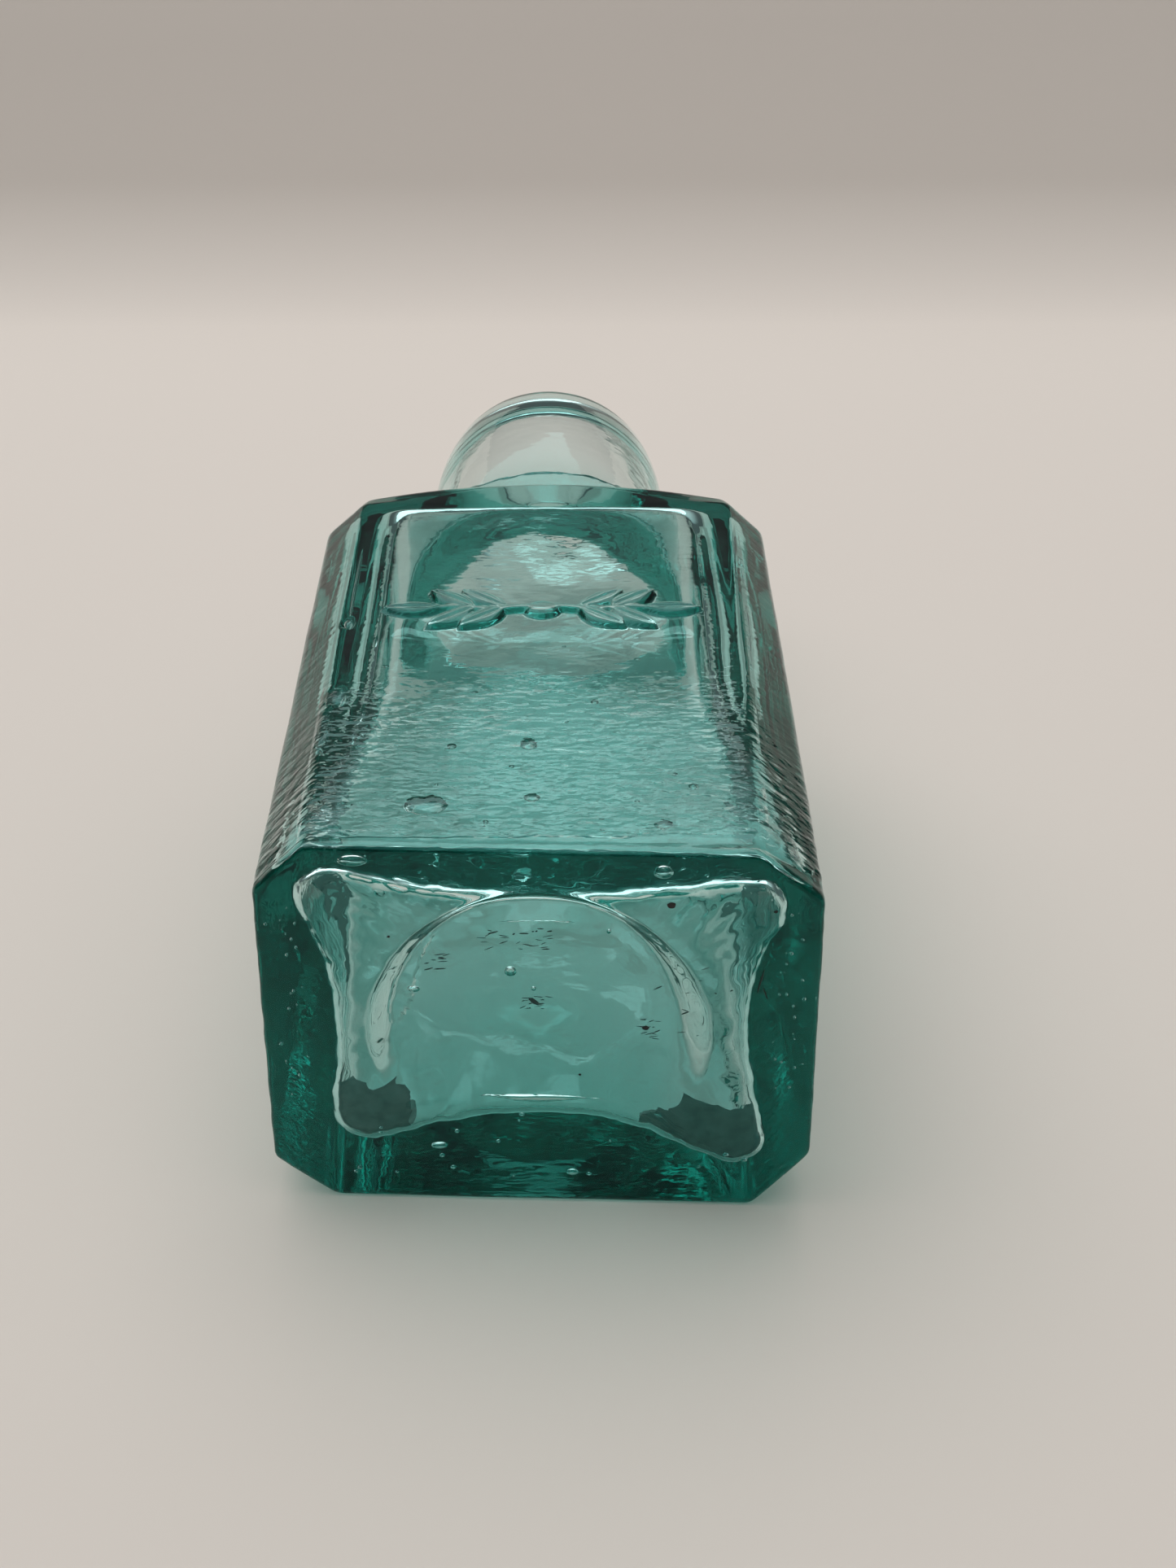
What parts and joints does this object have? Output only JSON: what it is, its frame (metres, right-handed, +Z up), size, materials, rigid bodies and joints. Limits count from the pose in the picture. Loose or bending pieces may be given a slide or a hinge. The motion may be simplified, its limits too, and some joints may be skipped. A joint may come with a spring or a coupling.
{
  "type": "ink bottle",
  "caption": "Rectangular mould-blown glass ink bottle with cut corners, a thick recessed base and a long round neck with a plain lip, lying on its side.",
  "frame": {"origin": "middle of the footprint, on the surface that the bottle lies on", "axes": "+Z up, away from the broad side it lies on; +Y along the bottle towards the mouth; +X to the right, seen from the base"},
  "size_m": [0.044, 0.111, 0.0348],
  "materials": {
    "glass": "clear blue-green blown glass, fire polished, with bubbles and a faintly rippled skin"
  },
  "bodies": {
    "root": {"bottle": "glass"}
  },
  "joints": []
}
